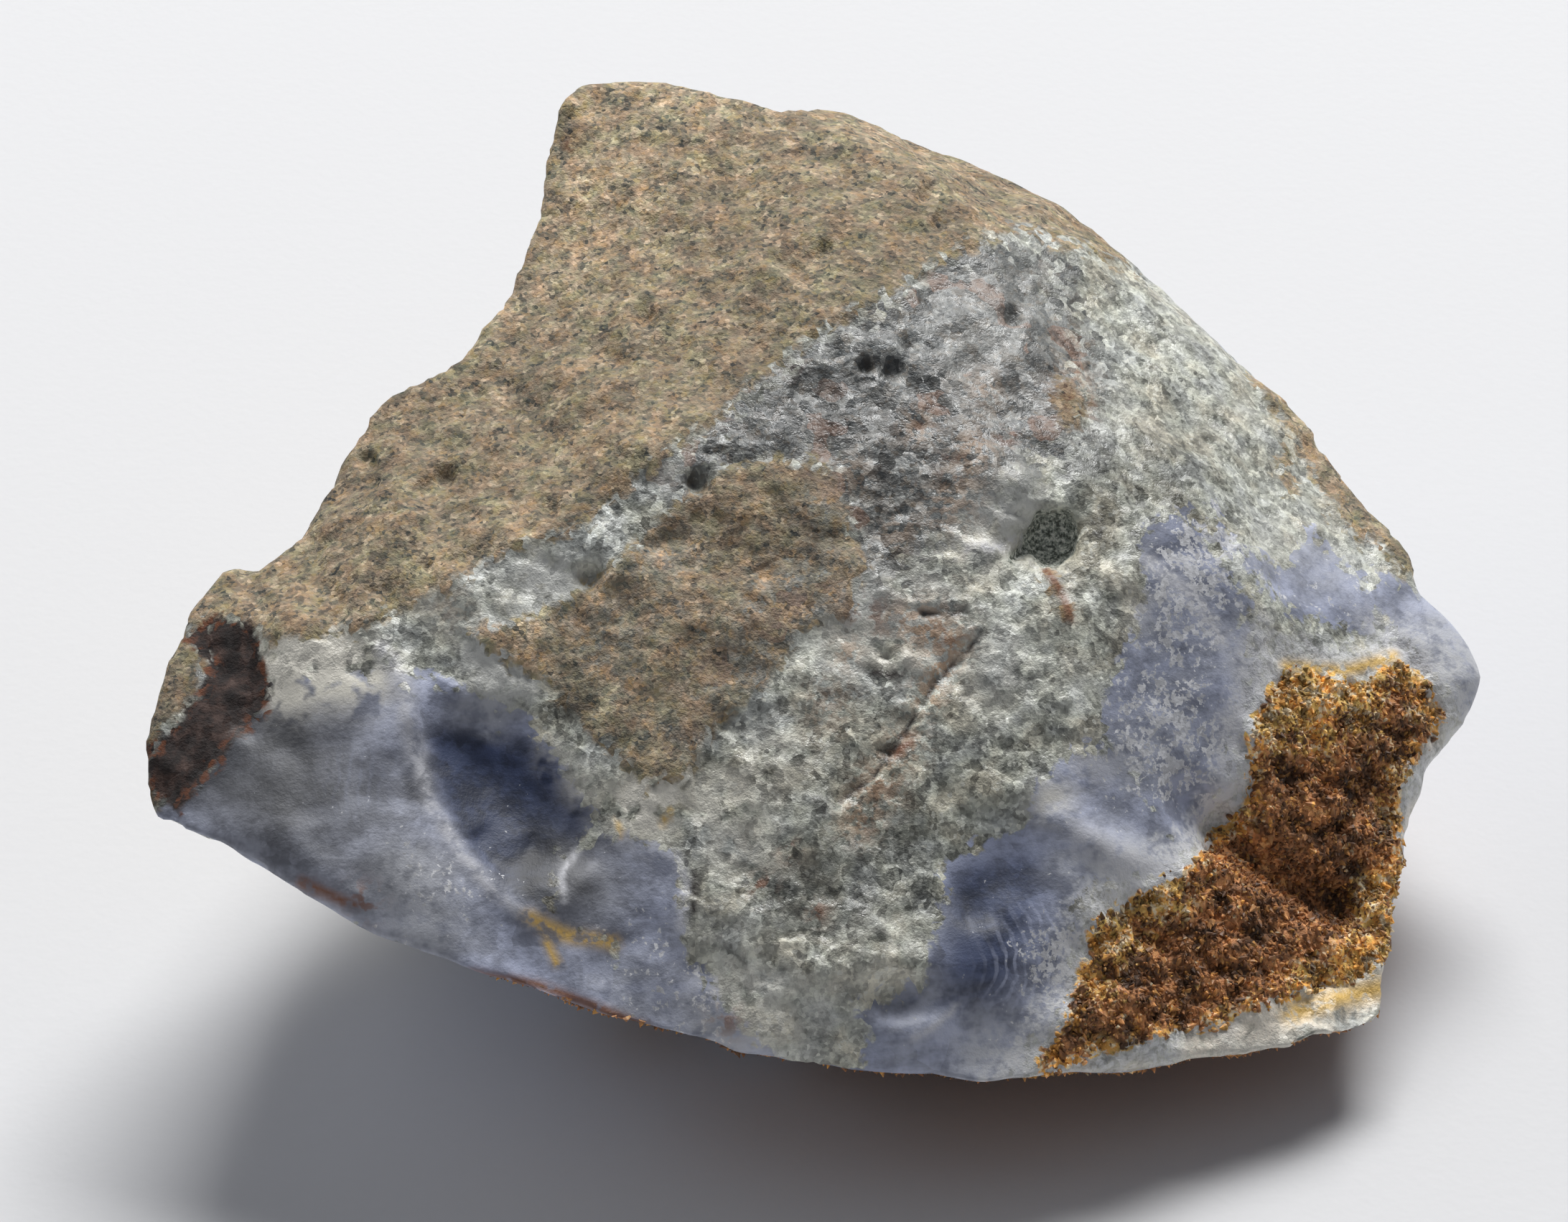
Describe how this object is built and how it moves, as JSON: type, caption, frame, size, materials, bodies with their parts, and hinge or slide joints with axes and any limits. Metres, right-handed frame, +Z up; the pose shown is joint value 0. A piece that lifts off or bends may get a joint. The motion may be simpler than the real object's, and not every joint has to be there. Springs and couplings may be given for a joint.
{
  "type": "rough agate hand specimen",
  "caption": "Rough broken stone of blue lace agate: glassy grey and milky blue faces, a rusty crystal crust and brown host rock, resting on a flat underside.",
  "frame": {"origin": "middle of the bounding box, at the height of the flat face the stone rests on", "axes": "+X along the stone's longest way, to the right as seen from its best side; +Y away from that side; +Z up"},
  "size_m": [0.0924, 0.0756, 0.0416],
  "materials": {
    "stone": "broken stone: glassy chalcedony and quartz with granular host rock"
  },
  "bodies": {
    "root": {"agate_stone": "stone"}
  },
  "joints": []
}
